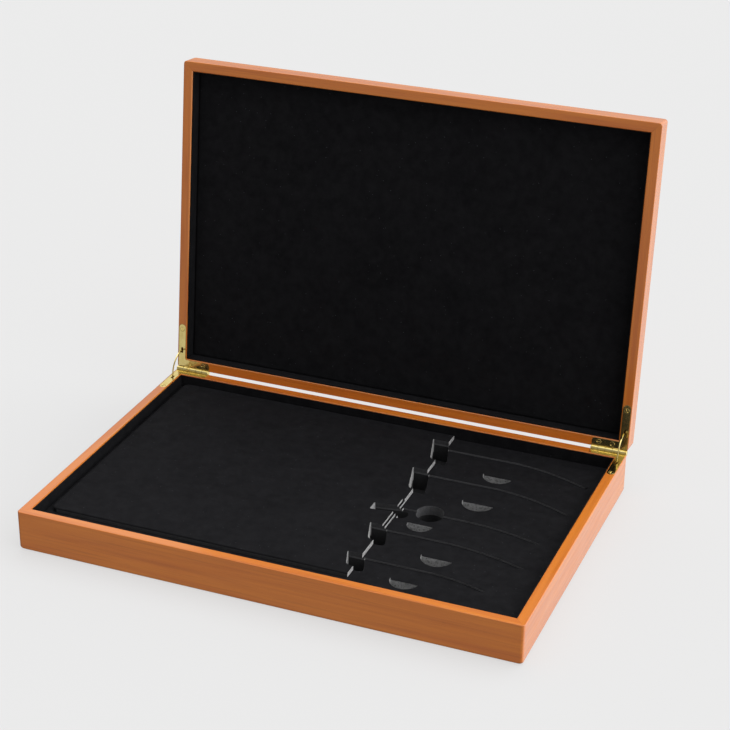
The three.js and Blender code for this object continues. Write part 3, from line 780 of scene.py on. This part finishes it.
@dataclass
class QuadrantHinge:
    """A brass quadrant hinge: two L-shaped leaves on a pin, a curved stay, and six screws."""

    side: Side
    benches: dict[Half, HalfBench]
    wall: float = 8.1
    leaf_thickness: float = 1.6
    leaf_width: float = 6.4
    setback: float = 1.4
    back_leg: float = 30.0
    back_corner: float = 2.6
    leg_fillet: float = 1.5
    leaf_ease: float = 0.22
    barrel_radius: float = 2.5
    barrel_clearance: float = 0.25
    barrel_end: float = 0.3
    knuckles: int = 5
    knuckle_gap: float = 0.16
    pin_hole: float = 1.06
    window_width: float = 1.7
    window_ends: float = 0.6
    mortise_width: float = 3.4
    mortise_clearance: float = 0.5
    stay_inward: float = 4.05
    stay_ease: float = 0.25
    stay_thickness: float = 1.2
    stay_share: float = 0.6
    head_width: float = 2.8
    head_rise: float = 0.3
    head_angle: float = math.radians(5.06)
    screw_room: float = 1.02
    pin_ease: float = 0.08
    fit: float = 0.1
    screw_turns: tuple[Size, Size] = ((12, -35, 78), (50, 8, -62))
    finish: PolishedBrass = field(default_factory=PolishedBrass)

    @property
    def margin(self) -> float:
        """How far a leaf stays inside the rail's outer face."""
        return (self.wall - self.leaf_width) / 2

    def node(self, *words: str) -> str:
        """The name of one of this hinge's nodes."""
        return "_".join((self.side.value, "hinge", *words))

    def _to_side(self, piece: Workpiece, bench: HalfBench) -> Workpiece:
        """Puts a piece that was made inward from the side face at this hinge's side."""
        reach = bench.outside().high.x
        if bench.sign(self.side) < 0:
            return piece.move(Matrix.Translation(-reach * ALONG))
        return piece.move(Matrix.Translation(reach * ALONG) @ Matrix.Scale(-1, 4, ALONG))

    def _blank(self, bench: HalfBench, grow: float, rise: float) -> Workpiece:
        """The L of a leaf: the leg along the side is extruded into the leg along the back.

        Args:
            bench: The bench of the leaf's half.
            grow: How much larger the outline is all round.
            rise: How far the blank stands above the rim.

        Returns:
            The blank, with X inward from the side face.
        """
        near = self.margin - grow
        far = self.margin + self.leaf_width + grow
        end = bench.measure(self.node(bench.half.value, "leaf")).high.y + grow
        back = self.setback + self.wall - self.margin + grow
        reach = self.back_leg + grow
        blank = Workpiece.block((near, 0, -self.leaf_thickness - grow), (far, end, rise))
        with blank.editing(Pick.FACE, "SELECT"):
            bpy.ops.mesh.bisect(plane_co=(0, back, 0), plane_no=ACROSS)
            bpy.ops.mesh.select_all(action="DESELECT")
            blank.pick(
                Pick.FACE, lambda face: face.normal.x > 0.9 and face.calc_center_median().y < back)
            bpy.ops.mesh.extrude_region_move(
                TRANSFORM_OT_translate={"value": (reach - far, 0, 0)})

        def stands_at(x: float, y: float) -> Test:
            place = Vector((x, y))
            return lambda edge: upright(edge) and (edge.verts[0].co.xy - place).length < NEAR

        blank.bevel(stands_at(far, back), self.leg_fillet - grow, segments=6)
        blank.bevel(stands_at(reach, back), self.back_corner + grow, segments=8)
        is_end = lambda edge: upright(edge) and abs(edge.verts[0].co.y - end) < NEAR
        return blank.bevel(is_end, (far - near) / 2 - NEAR, segments=10)

    def _axis_rod(self, bench: HalfBench, radius: float, start: float, end: float,
                  sides: int) -> Workpiece:
        """A rod along the hinge axis, between two distances from the side face."""
        height = bench.axis_height
        return Workpiece.rod(radius, Vector((start, 0, height)), Vector((end, 0, height)), sides)

    def _barrel(self, bench: HalfBench, index: int, radius: float, gap: float) -> Workpiece:
        """One knuckle of the barrel, or the room for it."""
        pitch = (self.back_leg - self.barrel_end) / self.knuckles
        start = self.barrel_end + index * pitch + gap / 2
        return self._axis_rod(bench, radius, start, start + pitch - gap, sides=64)

    def _stay_reach(self) -> tuple[float, float, float, float]:
        """Measures the stay about the axis: least and greatest radius, first and last angle."""
        bench = self.benches[Half.BASE]
        points = [(p.y, p.z - bench.axis_height) for p in bench.points(self.node("stay"))]
        radii = [math.hypot(y, z) for y, z in points]
        angles = [math.atan2(z, y) for y, z in points]
        return min(radii), max(radii), min(angles), max(angles)

    def _screw_boxes(self, bench: HalfBench) -> dict[str, Box]:
        """The boxes of one leaf's screws, by node name."""
        names = [self.node(bench.half.value, "screw", str(number)) for number in (1, 2, 3)]
        return {name: bench.measure(name) for name in names}

    def beds(self, bench: HalfBench) -> list[Workpiece]:
        """Everything that this hinge needs cut out of one half's rails.

        Args:
            bench: The bench of that half.

        Returns:
            The leaf's bed, the stay's mortise, the hollow under the barrel and the screw holes.
        """
        inner, outer, first, last = self._stay_reach()
        depth = bench.outside().low.z
        middle = self.stay_inward
        swing = math.radians(hinge_joint()["range_deg"][1])
        share = self.stay_share if bench.half is Half.BASE else 1 - self.stay_share
        sweep = -first + share * swing
        half_width = self.mortise_width / 2
        floor = max(depth, bench.axis_height - outer * math.sin(sweep))
        room = self.mortise_clearance
        low = Vector((middle - half_width, inner * math.cos(sweep) - room, floor - room))
        high = Vector((middle + half_width, outer + room, PAST))
        radius = self.barrel_radius + self.barrel_clearance
        end = self.back_leg + self.barrel_clearance
        tools = [
            self._blank(bench, self.fit, PAST),
            Workpiece.slot(low, high, segments=8),
            self._axis_rod(bench, radius, -PAST, end, sides=48),
        ]
        holes = []
        for box in self._screw_boxes(bench).values():
            foot = Vector((box.middle.x, box.middle.y, box.low.z - self.fit))
            head = Vector((foot.x, foot.y, -self.leaf_thickness / 2))
            holes.append(Workpiece.rod(self.screw_room, foot, head, sides=20))
        return [self._to_side(tool, bench) for tool in tools] + holes

    def leaf(self, bench: HalfBench) -> None:
        """Makes one leaf, with its knuckles, the stay's window and the countersinks."""
        own = 0 if bench.half is Half.BASE else 1
        indices = range(self.knuckles)
        inner, outer, _, _ = self._stay_reach()
        middle = self.stay_inward
        leaf = self._blank(bench, 0, 0)
        room = self.barrel_radius + self.barrel_clearance
        leaf.combine(Join.CUT, *(
            self._barrel(bench, i, room, -self.knuckle_gap) for i in indices if i % 2 != own))
        leaf.combine(Join.ADD, *(
            self._barrel(bench, i, self.barrel_radius, self.knuckle_gap)
            for i in indices if i % 2 == own))
        half_width = self.window_width / 2
        window = Workpiece.slot(
            Vector((middle - half_width, inner - self.window_ends, -self.leaf_thickness - PAST)),
            Vector((middle + half_width, outer + self.window_ends, PAST)), segments=8)
        bore = self._axis_rod(bench, self.pin_hole, -PAST, self.back_leg + PAST, sides=32)
        leaf.combine(Join.CUT, window, bore)
        self._to_side(leaf, bench)
        for box in self._screw_boxes(bench).values():
            place = Matrix.Translation((box.middle.x, box.middle.y, 0))
            leaf.combine(Join.CUT, Screw().model(self.fit / 2).move(place))
        leaf.face_out()
        leaf.bevel(rim_at(0), self.leaf_ease, segments=2)
        leaf.bevel(self._knuckle_rim(bench), self.leaf_ease, segments=2)
        node = self.node(bench.half.value, "leaf")
        leaf.dress(self.finish).install(f"brass_{node}", bench, bench.half.value, self.finish, node)

    def _knuckle_rim(self, bench: HalfBench) -> Test:
        """A test for the round edges at the ends of the knuckles."""

        def on_rim(edge: Edge) -> bool:
            ends = [vertex.co for vertex in edge.verts]
            radii = [math.hypot(co.y, co.z - bench.axis_height) for co in ends]
            round_edge = all(abs(radius - self.barrel_radius) < NEAR for radius in radii)
            return round_edge and abs(ends[0].x - ends[1].x) < NEAR and crease(edge)

        return on_rim

    def _ring_band(self, width: float, inner: float, outer: float, first: float, last: float,
                   steps: int) -> Workpiece:
        """A flat bar bent about the hinge axis: its section is spun from one angle to another."""
        bench = self.benches[Half.BASE]
        height = bench.axis_height
        put_down()
        bpy.ops.mesh.primitive_plane_add(
            size=1, location=(self.stay_inward, (inner + outer) / 2, height),
            scale=(width, outer - inner, 1))
        section = Workpiece._fresh()
        pivot = Matrix.Translation((0, 0, height))
        section.move(pivot @ Matrix.Rotation(first, 4, "X") @ pivot.inverted())
        with section.editing(Pick.FACE, "SELECT"):
            bpy.ops.mesh.spin(steps=steps, angle=first - last, center=(0, 0, height), axis=ALONG)
            bpy.ops.mesh.select_all(action="DESELECT")
        with section.editing(Pick.EDGE):
            if section.pick(Pick.EDGE, lambda edge: edge.is_boundary):
                bpy.ops.mesh.edge_face_add()
        return section.face_out()

    def stay(self) -> None:
        """Makes the curved stay, with the cross heads that catch under the leaves."""
        bench = self.benches[Half.BASE]
        inner, outer, first, last = self._stay_reach()
        head, rise = self.head_angle, self.head_rise
        bar = self._ring_band(self.stay_thickness, inner, outer, first, last, steps=56)
        bar.bevel(lambda edge: crease(edge, 1.0), self.stay_ease, segments=2)
        for start in (first, last - head):
            bar.combine(Join.ADD, self._ring_band(
                self.head_width, inner + rise, outer - rise, start, start + head, steps=4))
        self._to_side(bar, bench)
        node = self.node("stay")
        bar.dress(self.finish).install(
            f"brass_{node}", bench, f"{self.side.value}_stay", self.finish, node)

    def screws(self, bench: HalfBench, turns: Iterable[float]) -> None:
        """Drives three screws into one leaf.

        Args:
            bench: The bench of the leaf's half.
            turns: How far each screw's slot is turned, in degrees.
        """
        for (node, box), turn in zip(self._screw_boxes(bench).items(), turns):
            screw = Screw().model()
            place = Matrix.Translation((box.middle.x, box.middle.y, 0))
            screw.move(place @ Matrix.Rotation(math.radians(turn), 4, "Z"))
            screw.dress(self.finish).install(
                f"brass_{node}", bench, bench.half.value, self.finish, node)

    def build(self) -> None:
        """Makes the whole hinge."""
        for half, turns in zip(Half, self.screw_turns):
            self.leaf(self.benches[half])
            self.screws(self.benches[half], turns)
        self.stay()
        keep_node(self.node("pin"), self.finish, self.pin_ease)


@dataclass
class Screw:
    """A slotted countersunk wood screw, with its head's face at Z = 0."""

    head_radius: float = 1.8
    head_rim: float = 0.1
    radius: float = 0.95
    sink: float = 1.0
    length: float = 8.0
    taper: float = 1.6
    point: float = 0.3
    slot_width: float = 0.5
    slot_depth: float = 0.45
    ease: float = 0.06

    def model(self, grow: float = 0) -> Workpiece:
        """Draws the screw down from the disc of its head, and cuts the driver's slot.

        Args:
            grow: How much larger it is all round, which makes it the tool for its own hole.

        Returns:
            The screw, or the tool.
        """
        head = self.head_radius + grow
        put_down()
        bpy.ops.mesh.primitive_circle_add(
            vertices=32, radius=head, fill_type="NGON", location=(0, 0, grow))
        screw = Workpiece._fresh()
        steps = [
            (self.head_rim + grow, head),
            (self.sink, self.radius + grow),
            (self.length - self.taper, self.radius + grow),
            (self.length + grow, self.point + grow),
        ]
        depth, width = -grow, head
        with screw.editing(Pick.FACE, "SELECT"):
            for next_depth, next_width in steps:
                ratio = next_width / width
                bpy.ops.mesh.extrude_region_move(
                    TRANSFORM_OT_translate={"value": (0, 0, depth - next_depth)})
                bpy.ops.transform.resize(
                    value=(ratio, ratio, 1), center_override=(0, 0, -next_depth))
                depth, width = next_depth, next_width
        screw.face_out()
        if grow:
            return screw
        reach = head + PAST
        half_slot = self.slot_width / 2
        screw.combine(Join.CUT, Workpiece.block(
            (-reach, -half_slot, -self.slot_depth), (reach, half_slot, PAST)))
        return screw.bevel(rim_at(0), self.ease, segments=1)


# Wooden halves


@dataclass
class WoodenTray:
    """One half of the case: four mitred rails, the panel in their rebate and the lining boards."""

    bench: HalfBench
    hinges: list[QuadrantHinge]
    panel: str
    outer_round: float = 3.0
    corner_round: float = 2.2
    rim_round: float = 0.6
    arris: float = 0.5
    glue_line: float = 0.05
    lining_ease: float = 0.3
    panel_ease: float = 0.2

    def _frame(self) -> Workpiece:
        """The four rails in one: a soft block with the well, the rebate and the hinge beds cut."""
        bench = self.bench
        low, high = bench.outside()
        shell = Workpiece.block(low, high)
        shell.bevel(level_at(low.z), self.outer_round, segments=6)
        shell.bevel(self._at_corner(Box(low, high)), self.corner_round, segments=6)
        shell.bevel(level_at(high.z), self.rim_round, segments=4)
        wall = high.y - bench.measure(bench.node("front_rail")).low.y
        well_low = Vector((low.x + wall, low.y + wall, low.z - PAST))
        well_high = Vector((high.x - wall, high.y - wall, high.z - self.arris))
        panel = bench.measure(self.panel)
        seat_low = panel.low - Vector((self.glue_line, self.glue_line, PAST))
        seat_high = panel.high + Vector((self.glue_line,) * 3)
        seat = Workpiece.block(seat_low, seat_high)
        shell.combine(Join.CUT, self._well(well_low, well_high), seat)
        for hinge in self.hinges:
            shell.combine(Join.CUT, *hinge.beds(bench))
        return shell

    @staticmethod
    def _at_corner(box: Box) -> Test:
        """A test for the edges that run down a corner, also where the rounds of two sides meet."""
        reach = (box.high - box.low) / 2

        def at_corner(edge: Edge) -> bool:
            offsets = [vertex.co - box.middle for vertex in edge.verts]
            level = abs(offsets[0].z - offsets[1].z) < NEAR
            insets = [(reach.x - abs(place.x)) - (reach.y - abs(place.y)) for place in offsets]
            return not level and all(abs(inset) < NEAR for inset in insets)

        return at_corner

    def _well(self, low: Vector, high: Vector) -> Workpiece:
        """The tool that cuts the well: a block whose top flares out to take off the inner arris."""
        tool = Workpiece.block(low, high)
        middle = (low + high) / 2
        flare = [(size + 2 * self.arris) / size for size in (high.x - low.x, high.y - low.y)]
        with tool.editing(Pick.FACE):
            tool.pick(Pick.FACE, faces_up)
            bpy.ops.mesh.extrude_region_move(TRANSFORM_OT_translate={"value": (0, 0, self.arris)})
            bpy.ops.transform.resize(value=(*flare, 1), center_override=middle)
            bpy.ops.mesh.extrude_region_move(TRANSFORM_OT_translate={"value": (0, 0, PAST)})
        return tool

    def _rail(self, shell: Workpiece, outward: Vector, corners: Box) -> Workpiece:
        """Saws one rail out of the frame at its two mitres.

        Args:
            shell: The four rails in one.
            outward: The direction that the rail faces.
            corners: The outer corners of the frame.

        Returns:
            The rail.
        """
        rail = shell.twin()
        along = outward.cross(UPRIGHT)
        reach = (corners.high - corners.low) / 2
        for tangent in (along, -along):
            toward = outward + tangent
            corner = corners.middle + Vector([reach[k] * toward[k] for k in range(3)])
            inward = (outward - tangent).normalized()
            rail.part(corner + inward * self.glue_line / 2, inward)
        return rail

    def build(self) -> None:
        """Makes the rails, and finishes the panel and the lining boards."""
        bench = self.bench
        half = bench.half
        side_grain = Grain.BASE_SIDE if half is Half.BASE else Grain.LID_SIDE
        shell = self._frame()
        corners = bench.outside()
        outward = {"front": ACROSS, "back": -ACROSS}
        for side in Side:
            outward[side.value] = bench.sign(side) * ALONG
        for place, direction in outward.items():
            wood = LacqueredWood(side_grain if direction.x else Grain.CROSSWISE)
            node = bench.node(place, "rail")
            rail = self._rail(shell, direction, corners)
            rail.dress(wood).install(f"lacquered_{node}", bench, half.value, wood, node)
            keep_node(bench.node(place, "liner"), BlackFlock(), self.lining_ease)
        keep_node(self.panel, LacqueredWood(Grain.CROSSWISE), self.panel_ease)
        shell.discard()


# Foam and padding


@dataclass
class FoamInsert:
    """The die-cut insert: the raw core, the flocked bed and sheet, and the loose pad."""

    bench: Bench
    body: str = Half.BASE.value
    rim_ease: float = 0.35
    pad_corner: float = 5.0
    pad_round: float = 1.3
    ledge_width: float = 1.8
    ledge_depth: float = 1.7
    ledge_back: float = 9.5
    ledge_front: float = -36.0
    pad_swell: float = 0.35
    pad_swell_cell: float = 22.0
    pad_grid: float = 5.0
    crumple: float = 1.3
    crumple_cell: float = 1.7
    crumple_grid: float = 0.8
    crumple_depth: float = 2.0
    crumple_top: float = 0.1
    crumple_seed: float = 31.0
    scoop_aspect: float = 0.7
    flock: BlackFlock = field(default_factory=BlackFlock)
    sawn: RawFoam = field(default_factory=RawFoam)
    grid: float = 6.0
    # The next three foams are darker copies of the pale foam, painted shade on walls away from the
    # light; the last two are the foam as the scoops tear it.
    dusted: RawFoam = RawFoam("dusted", srgb(58, 58, 60), srgb(32, 32, 34))
    shaded: RawFoam = RawFoam("shaded", srgb(32, 32, 34), srgb(18, 18, 20))
    nicked: RawFoam = RawFoam("nicked", srgb(80, 80, 82), srgb(44, 44, 46))
    pulled: RawFoam = RawFoam("pulled", srgb(150, 150, 150), srgb(56, 56, 58), 1.5)
    torn: RawFoam = RawFoam("torn", srgb(130, 130, 130), srgb(52, 52, 54))

    def _plugs(self, node: str) -> list[Workpiece]:
        """The waste that the die knocks out of a layer: one plug for each cut or run of cuts."""
        box = self.bench.measure(node)
        inset = Vector((PAST, PAST, NEAR))
        waste = Workpiece.block(box.low + inset, box.high - inset)
        waste.combine(Join.CUT, Workpiece.copy_of(node, self.bench))
        with waste.editing(Pick.FACE, "SELECT"):
            bpy.ops.mesh.separate(type="LOOSE")
        return [Workpiece(obj) for obj in bpy.context.selected_objects]

    @staticmethod
    def _knock_out(layer: Workpiece, plugs: Iterable[Workpiece]) -> None:
        """Cuts plugs out of a layer, through it or down to the floor of those that stop short."""
        box = layer.box
        high = box.high.z + PAST
        for plug in plugs:
            low = plug.box.low.z
            if low <= box.low.z + PAST:
                low = box.low.z - PAST
            height = plug.box.high.z - plug.box.low.z
            drawn = (Matrix.Translation((0, 0, (high + low) / 2))
                     @ Matrix.Scale((high - low) / height, 4, UPRIGHT)
                     @ Matrix.Translation((0, 0, -plug.box.middle.z)))
            layer.combine(Join.CUT, plug.twin().move(drawn))

    def _bare(self, layer: Workpiece, saw_line: float, cut: RawFoam) -> None:
        """Paints the cut faces: the pale foam where they face right, toward the light, and a darker
        copy as painted shade elsewhere.
        """
        left, right = layer.box.middle.x, saw_line + NEAR
        layer.paint(cut, lambda face: steep(face) and left < face.center.x < right)
        layer.paint(self.sawn, lambda face: face.normal.x > 0.5 and left < face.center.x < right)

    @staticmethod
    def _within(boxes: list[Box]) -> Test:
        """A test for faces that lie in one of the boxes, seen from above."""
        return lambda face: any(
            all(box.low[k] - PAST < face.center[k] < box.high[k] + PAST for k in (0, 1))
            for box in boxes)

    def _layer(self, node: str, name: str, plugs: list[Workpiece], cut: RawFoam,
               walls: dict[RawFoam, list[Box]]) -> None:
        """Makes one flocked layer, with soft rims to its cuts.

        Args:
            node: The layer's CAD node.
            name: The piece's name.
            plugs: The waste of its cuts.
            cut: The darker foam painted as shade on its cut walls that don't face right.
            walls: Other foams, with the boxes in which they are bared instead.
        """
        box = self.bench.measure(node)
        layer = Workpiece.block(box.low, box.high).dress(self.flock)
        self._knock_out(layer, plugs)
        self._bare(layer, box.high.x - PAST, cut)
        for foam, boxes in walls.items():
            inside = self._within(boxes)
            layer.paint(foam, lambda face: steep(face) and inside(face))
        layer.bevel(rim_at(box.high.z), self.rim_ease, segments=2)
        layer.rule(self.grid, box)
        layer.install(name, self.bench, self.body, self.flock, node, fill=1.0)

    def _core(self, scoops: list[Box]) -> None:
        """The core, whose torn top shows at the bottom of the scoops."""
        box = self.bench.measure("foam_core")
        core = Workpiece.block(box.low, box.high)
        plugs = self._plugs("foam_core")
        self._knock_out(core, plugs)
        top = box.high.z
        for number, scoop in enumerate(scoops):
            low = Vector((scoop.low.x - PAST, scoop.low.y - PAST, top - self.crumple_depth))
            high = Vector((scoop.high.x + PAST, scoop.high.y + PAST, top + self.crumple_top))
            patch = Workpiece.block(low, high).rule(self.crumple_grid, Box(low, high), faces_up)
            patch.roughen(self.crumple, self.crumple_cell, lambda v: v.co.z > top - PAST,
                          seed=self.crumple_seed * number)
            core.combine(Join.ADD, patch)
        for plug in plugs:
            plug.discard()
        # The core is painted shade, a very dark foam, where it shows down the slots; the scoops
        # show its torn foam.
        core.dress(self.shaded).paint(self.torn, self._within(scoops))
        core.install("raw_foam_core", self.bench, self.body, self.torn, "foam_core", fill=1.0)

    def _pad(self, plugs: list[Workpiece]) -> None:
        """The loose pad under the handles, sawn off square by the blades."""
        box = self.bench.measure("handle_pad")
        pad = Workpiece.block(box.low, box.high).dress(self.flock)
        top = level_at(box.high.z)
        left = lambda edge: upright(edge) and edge.verts[0].co.x < box.middle.x
        pad.bevel(left, self.pad_corner, segments=10)
        at_saw = lambda edge: all(abs(vertex.co.x - box.high.x) < NEAR for vertex in edge.verts)
        pad.bevel(lambda edge: top(edge) and not at_saw(edge), self.pad_round, segments=5)
        ledge = Workpiece.block(
            (box.high.x - self.ledge_width, self.ledge_front, box.high.z - self.ledge_depth),
            (box.high.x + PAST, self.ledge_back, box.high.z + PAST))
        pad.combine(Join.CUT, ledge)
        self._knock_out(pad, plugs)
        # The pad's cut walls get painted shade, a darker copy of the foam, except where they face
        # right toward the light.
        self._bare(pad, box.high.x, self.dusted)
        pad.bevel(rim_at(box.high.z, 1.0), self.rim_ease, segments=2)
        pad.rule(self.pad_grid, box)
        pad.roughen(self.pad_swell, self.pad_swell_cell,
                    lambda v: v.co.z > box.high.z - 2 * self.pad_round)
        pad.install("flocked_handle_pad", self.bench, self.body, self.flock, "handle_pad", fill=1.0)

    def build(self) -> None:
        """Makes the four layers."""
        plugs = self._plugs("foam_bed")
        outlines = self._plugs("blade_sheet")
        saw_line = self.bench.measure("handle_pad").high.x
        deep = [plug for plug in plugs if plug.box.low.x < saw_line]
        boxes = [plug.box for plug in plugs if plug not in deep]
        scoops = [box for box in boxes
                  if box.high.y - box.low.y < self.scoop_aspect * (box.high.x - box.low.x)]
        # In the holes a mid-dark copy of the foam stands in as painted shade; the scoops show their
        # pulled foam.
        walls = {self.nicked: boxes, self.pulled: scoops}
        self._core(scoops)
        # The bed's cut walls get a very dark copy of the foam as painted shade.
        self._layer("foam_bed", "flocked_foam_bed", plugs, self.shaded, walls)
        # The sheet's cut walls that don't face right get a mid-dark copy of the foam as painted
        # shade.
        self._layer("blade_sheet", "flocked_blade_sheet", outlines, self.nicked, walls)
        self._pad(deep)
        for plug in (*plugs, *outlines):
            plug.discard()


@dataclass
class LidPad:
    """The plain flocked pad in the lid."""

    bench: HalfBench
    corner_round: float = 2.0
    edge_round: float = 1.9
    grid: float = 8.0
    swell: float = 0.4
    swell_cell: float = 40.0
    finish: BlackFlock = field(default_factory=BlackFlock)

    def build(self) -> None:
        """Makes the pad: a slab with soft edges and a faintly uneven face."""
        box = self.bench.measure("lid_lining_pad")
        pad = Workpiece.block(box.low, box.high)
        pad.bevel(upright, self.corner_round, segments=6)
        pad.bevel(level_at(box.high.z), self.edge_round, segments=5)
        pad.rule(self.grid, box)
        pad.roughen(self.swell, self.swell_cell, lambda v: v.co.z > box.high.z - self.corner_round)
        body = self.bench.half.value
        pad.dress(self.finish).install(
            "flocked_lid_pad", self.bench, body, self.finish, "lid_lining_pad", fill=1.0)


# Studio


@dataclass(frozen=True)
class Glow:
    """A soft patch of light in the studio's surroundings."""

    toward: tuple[float, float, float]
    tightness: float
    strength: float


@dataclass(frozen=True)
class Camera:
    """The photograph's viewpoint, solved from the corners of the case."""

    place: tuple[float, float, float] = (511.93, -1217.21, 776.30)
    yaw: float = 0.38855
    pitch: float = 0.46224
    roll: float = 0.00527
    image_size: float = 730.0
    focal_length: float = 1956.5
    centre: tuple[float, float] = (347.12, 383.32)
    sensor: float = 36.0
    reach: float = 100.0

    def build(self) -> None:
        """Makes the camera and hands it to the scene."""
        lens = bpy.data.cameras.new("viewpoint")
        lens.sensor_width = self.sensor
        lens.lens = self.focal_length * self.sensor / self.image_size
        lens.shift_x = (self.image_size / 2 - self.centre[0]) / self.image_size
        lens.shift_y = (self.centre[1] - self.image_size / 2) / self.image_size
        lens.clip_end = self.reach
        obj = bpy.data.objects.new("viewpoint", lens)
        bpy.context.scene.collection.objects.link(obj)
        turn = Matrix.Rotation(self.yaw, 4, "Z") @ Matrix.Rotation(math.pi / 2 - self.pitch, 4, "X")
        obj.matrix_world = (Matrix.Translation(Vector(self.place) * MM) @ turn
                            @ Matrix.Rotation(self.roll, 4, "Z"))
        bpy.context.scene.camera = obj


@dataclass
class Studio:
    """A pale floor under a soft sky that is brightest to the right."""

    backdrop: Colour = srgb(235, 235, 235)
    floor_share: float = 0.2
    floor_glow: float = 0.72
    floor_size: float = 60.0
    ambient: float = 0.02
    glows: tuple[Glow, ...] = (
        Glow((0.1, 0.4, 1.0), 3.5, 2.4),
        Glow((1.0, 0.05, 0.15), 3.0, 2.6),
        Glow((0.35, 0.83, -0.45), 5.0, 0.6),
        Glow((-0.35, -0.9, -0.3), 8.0, 0.55),
        Glow((-1.0, 0.0, 0.2), 3.0, 0.2),
    )

    def _floor(self) -> None:
        """A wide floor that takes the case's shadow, partly lit from within to stay pale."""
        put_down()
        bpy.ops.mesh.primitive_grid_add(x_subdivisions=4, y_subdivisions=4, size=self.floor_size)
        floor = bpy.context.object
        floor.name = "floor"
        recipe = Recipe("pale_floor")
        red, green, blue, _ = self.backdrop
        share = self.floor_share
        recipe.surface(
            base_color=(red * share, green * share, blue * share, 1), roughness=0.9,
            specular_ior_level=0.0,
            emission_color=self.backdrop, emission_strength=self.floor_glow)
        floor.data.materials.append(recipe.material)
        floor.visible_diffuse = False
        floor.visible_glossy = False

    def _sky(self) -> None:
        """The surroundings: a dim light and a few soft glows, seen plain behind the case."""
        world = bpy.data.worlds.new("studio")
        world.use_nodes = True
        bpy.context.scene.world = world
        sky = Wiring(world.node_tree)
        where = sky.add("ShaderNodeTexCoord", "Generated", {})
        light: object = self.ambient
        for glow in self.glows:
            inputs = {0: where, 1: Vector(glow.toward).normalized()}
            cosine = sky.add("ShaderNodeVectorMath", "Value", inputs, operation="DOT_PRODUCT")
            slope = sky.math("MULTIPLY", sky.math("SUBTRACT", cosine, 1.0), glow.tightness)
            patch = sky.math("MULTIPLY", sky.math("EXPONENT", slope, 0.0), glow.strength)
            light = sky.math("ADD", light, patch)
        lit = sky.nodes["Background"]
        sky.feed(lit.inputs["Color"], (1, 1, 1, 1))
        sky.feed(lit.inputs["Strength"], light)
        plain = sky.add("ShaderNodeBackground", "Background", {"Color": self.backdrop})
        seen = sky.add("ShaderNodeLightPath", "Is Camera Ray", {})
        mix = sky.add("ShaderNodeMixShader", "Shader", {0: seen, 1: lit.outputs[0], 2: plain})
        sky.feed(sky.nodes["World Output"].inputs["Surface"], mix)

    def build(self) -> None:
        """Sets the floor, the light and the camera."""
        self._floor()
        self._sky()
        Camera().build()
        view = bpy.context.scene.view_settings
        view.view_transform = "Standard"
        view.look = "None"


def main() -> None:
    """Builds the studio and the case, sub-assembly by sub-assembly."""
    logging.basicConfig(level=logging.INFO, format="%(name)s: %(message)s")
    benches = {half: half_bench(half) for half in Half}
    hinges = [QuadrantHinge(side, benches) for side in Side]
    WoodenTray(benches[Half.BASE], hinges, "base_bottom_panel").build()
    WoodenTray(benches[Half.LID], hinges, "lid_top_panel").build()
    FoamInsert(Bench(Matrix.Scale(MM, 4))).build()
    LidPad(benches[Half.LID]).build()
    for hinge in hinges:
        hinge.build()
    Studio().build()


if __name__ == "__main__":
    main()
